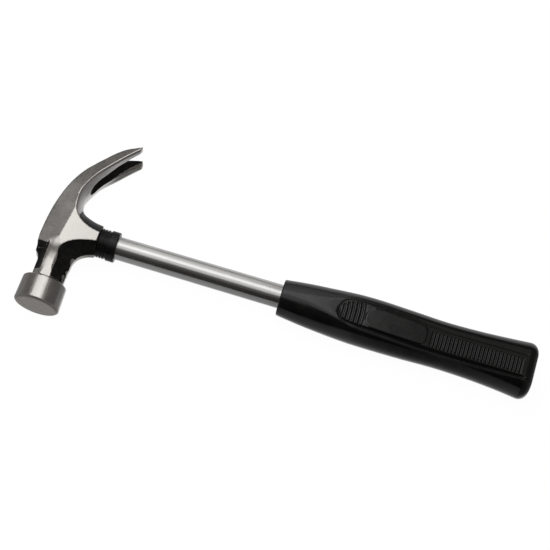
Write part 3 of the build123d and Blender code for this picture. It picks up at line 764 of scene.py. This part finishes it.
def rounding(x):
    """How far the section is drawn in at a rounded end of the grip."""
    ends = ((FRONT_ROUND, GRIP_START + FRONT_ROUND - x), (BUTT_ROUND, x - BUTT + BUTT_ROUND))
    for radius, depth in ends:
        if depth > 0:
            return radius - math.sqrt(max(radius ** 2 - depth ** 2, 0))
    return 0.0


def grip_ring(x):
    """A ring of points round the grip. Both its sides have the panel."""
    inset = rounding(x)
    up = through(GRIP, 1, x) - inset
    down = through(GRIP, 2, x) - inset
    low, high = max(SIDE_REACH[0], EDGE_REACH - down), min(SIDE_REACH[1], up - EDGE_REACH)
    turn = np.linspace(0, math.pi / 2, EDGE_POINTS, endpoint=False)
    face_edge = -down + (low + down) * (1 - np.cos(turn))
    claw_edge = up - (up - high) * (1 - np.cos(turn))[::-1]
    y = np.concatenate([face_edge, panel_columns(x, low, high), claw_edge])
    everywhere = np.full_like(y, x)
    z = section_z(everywhere, y, inset)
    z = np.maximum(z + side_detail(everywhere, y) * smooth_step(3.0, 7.0, z), 0)
    z[0] = z[-1] = 0
    top = np.stack([everywhere, y, z], 1)
    bottom = top[1:-1][::-1] * (1, 1, -1)
    return np.concatenate([top, bottom])


def make_grip():
    """The grip's rings from the end of its bore, out at its front and along to the butt."""
    front = GRIP_START + FRONT_ROUND * (1 - np.cos(np.linspace(0, math.pi / 2, 5)))
    plain = np.arange(GRIP_START + 1.6, 177.4, PLAIN_STEP)
    panel = np.arange(177.5, 300.6, PANEL_STEP)
    butt = BUTT - BUTT_ROUND * (1 - np.sin(np.linspace(0.2, math.pi / 2, 11)))
    body = np.concatenate([plain, panel])
    stations = np.concatenate([front, body[body < butt[0] - 0.2], butt])
    outer = [grip_ring(x) for x in stations]
    first, last = outer[0], outer[-1]
    # Shrinking rings close the butt.
    centre = np.array([BUTT, (last[:, 1].max() + last[:, 1].min()) / 2, 0])
    closing = []
    for share in (0.93, 0.8, 0.6, 0.4, 0.2):
        ring = centre + (last - centre) * share
        ring[:, 0] = BUTT
        closing.append(ring)
    # Three rings make the bore and the chamfer at its mouth.
    angle = np.arctan2(first[:, 2], first[:, 1])
    around = np.stack([np.zeros_like(angle), np.cos(angle), np.sin(angle)], 1)
    mouth_r = tube_r(GRIP_START)
    places = ((BORE_END, TUBE_R_BUTT + BORE_PLAY),
              (GRIP_START + BORE_CHAMFER[0], mouth_r + BORE_PLAY),
              (GRIP_START, mouth_r + BORE_CHAMFER[1]))
    bore = []
    for x, radius in places:
        ring = around * radius
        ring[:, 0] = x
        bore.append(ring)
    rows = bore + outer + closing
    count = len(first)
    points = np.concatenate(rows + [np.array([[BORE_END, 0, 0], centre])])
    faces = []
    for r in range(len(rows) - 1):
        for k in range(count):
            m = (k + 1) % count
            faces.append((r * count + k, r * count + m, (r + 1) * count + m, (r + 1) * count + k))
    start_pole, end_pole = len(points) - 2, len(points) - 1
    end_row = (len(rows) - 1) * count
    for k in range(count):
        m = (k + 1) % count
        faces.append((start_pole, m, k))
        faces.append((end_pole, end_row + k, end_row + m))
    grip = new_piece("grip_moulding", points, faces)
    upright = bmesh.new()
    upright.from_mesh(grip.data)
    bmesh.ops.recalc_face_normals(upright, faces=upright.faces)
    upright.to_mesh(grip.data)
    upright.free()
    grip.data.materials.append(rubber_material())
    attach(grip, "root")
    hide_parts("grip")


# --- studio ---------------------------------------------------------------------------
FLOOR_SIZE = 8
FLOOR_GLOW = 0.97
ROOM_GLOW = 0.06
TABLE_GLOW = (0.36, 0.95)
TABLE_SHADE = 0.85
HORIZON = (0.02, -0.06)
# Each light: its name, the point on the handle's axis that it faces, how far it leans from
# overhead to the claws' side in degrees, its distance, its length and width, and its radiance.
# The point, the distance and the size are in metres, the point from the eye centre.
LIGHTS = [("overhead", -0.105, 20.0, 0.64, (0.60, 0.29), 1.52),
          ("overhead_front", -0.105, -4.0, 0.60, (0.60, 0.24), 0.75),
          ("upper_side", -0.025, 44.0, 0.75, (0.31, 0.34), 0.90),
          ("lower_side", -0.025, 67.0, 0.82, (0.33, 0.30), 0.50)]


def area_light(name, centre, target, size, radiance):
    """A soft rectangular light that looks equally bright from every distance."""
    light = bpy.data.lights.new(name, "AREA")
    light.shape = "RECTANGLE"
    light.size, light.size_y = size
    light.energy = radiance * math.pi * size[0] * size[1]
    lamp = bpy.data.objects.new(name, light)
    bpy.context.scene.collection.objects.link(lamp)
    lamp.location = centre
    lamp.rotation_mode = "QUATERNION"
    lamp.rotation_quaternion = (target - centre).to_track_quat("-Z", "Y")


def make_surroundings():
    """A dim room above the level of the hammer, and a brighter table top below it, as they
    show in the steel and the rubber."""
    world = bpy.data.worlds.new("studio")
    bpy.context.scene.world = world
    n = Nodes(world, "Background", "Generated")
    x, y, z = n.parts()
    # The table fades to both ends, to the far claws' side, and near the butt on the face's side.
    table = n.remap(y, -0.36, 0.05, *TABLE_GLOW)
    table = n.math("MULTIPLY", table, n.remap(n.math("ABSOLUTE", x, 0.0), 0.25, 0.65, 1.0, 0.12))
    table = n.math("MULTIPLY", table, n.remap(y, 0.45, 0.95, 1.0, 0.5))
    shade = n.math("MULTIPLY", n.remap(x, -0.07, 0.05), n.remap(y, -0.1, -0.4, 0.0, TABLE_SHADE))
    table = n.math("MULTIPLY", table, n.math("SUBTRACT", 1.0, shade))
    # The room is a little lighter at both ends, at the claws' side, over the face's side and
    # overhead towards the butt, and has faint stripes along the handle.
    ends = n.math("ADD", n.remap(x, -0.2, -0.9, 0.0, 0.11), n.remap(x, 0.2, 0.9, 0.0, 0.07))
    room = n.math("ADD", n.math("ADD", ends, ROOM_GLOW), n.remap(y, 0.75, 0.97, 0.0, 0.2))
    upper = n.math("MULTIPLY", n.remap(y, -0.7, -0.2, 0.0, 0.09), n.remap(y, -0.1, 0.05, 1.0, 0.0))
    room = n.math("ADD", room, upper)
    ceiling = n.math("MULTIPLY", n.remap(z, 0.78, 0.95, 0.0, 0.32), n.remap(x, -0.02, 0.08))
    room = n.math("ADD", room, ceiling)
    stripes = n.noise(1, 2, 0.6, n.stretch((0.3, 9, 9)))
    room = n.math("ADD", room, n.remap(stripes, 0.35, 0.65, -0.05, 0.04))
    below = n.remap(z, *HORIZON)
    glow = n.math("ADD", room, n.math("MULTIPLY", below, table))
    n.set(Color=n.mix(below, (1.0, 0.97, 0.93), (0.98, 0.985, 1.0)), Strength=glow)


def make_studio():
    bpy.ops.mesh.primitive_plane_add(size=FLOOR_SIZE, location=(0, 0, 0))
    floor = bpy.context.object
    floor.name = "studio_floor"
    floor.data.materials.append(floor_material())
    # The hammer reflects the surroundings and the lights, not this floor's even glow.
    floor.visible_glossy = False
    make_surroundings()
    for name, along, turned, away, size, radiance in LIGHTS:
        lean = math.radians(turned)
        target = EYE + Vector((along, 0, 0))
        centre = target + Vector((0, math.sin(lean), math.cos(lean))) * away
        area_light(name, centre, target, size, radiance)
    bpy.context.scene.view_settings.view_transform = "Standard"
    bpy.context.scene.view_settings.look = "None"


# The photographer's place in millimetres from the eye centre, and how steeply the camera
# looks down, its turn and its roll in degrees.
CAMERA_AT = (169.3, -387.66, 1030.07)
CAMERA_UP_DEG, CAMERA_TURN_DEG, CAMERA_ROLL_DEG = 68.676, 5.056, 11.865
CAMERA_LENS = 115.5


def make_camera():
    up, turn, roll = (math.radians(a) for a in (CAMERA_UP_DEG, CAMERA_TURN_DEG, CAMERA_ROLL_DEG))
    back = Vector((math.sin(turn) * math.cos(up), -math.cos(turn) * math.cos(up), math.sin(up)))
    level = Vector((math.cos(turn), math.sin(turn), 0))
    above = back.cross(level)
    right = level * math.cos(roll) + above * math.sin(roll)
    top = above * math.cos(roll) - level * math.sin(roll)
    camera = bpy.data.objects.new("camera", bpy.data.cameras.new("camera"))
    bpy.context.scene.collection.objects.link(camera)
    camera.data.lens = CAMERA_LENS
    camera.data.sensor_width = 36.0
    camera.data.clip_start = 0.05
    camera.data.clip_end = 20.0
    turned = Matrix((right, top, back)).transposed().to_4x4()
    camera.matrix_world = Matrix.Translation(EYE + Vector(CAMERA_AT) * MM) @ turned
    bpy.context.scene.camera = camera


make_camera()
make_head()
make_tube()
make_wedge()
make_collar()
make_grip()
for node, material in (("tube_core", wood_material()), ("tube_end_plug", plug_material())):
    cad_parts[node].data.materials.clear()
    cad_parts[node].data.materials.append(material)
make_studio()
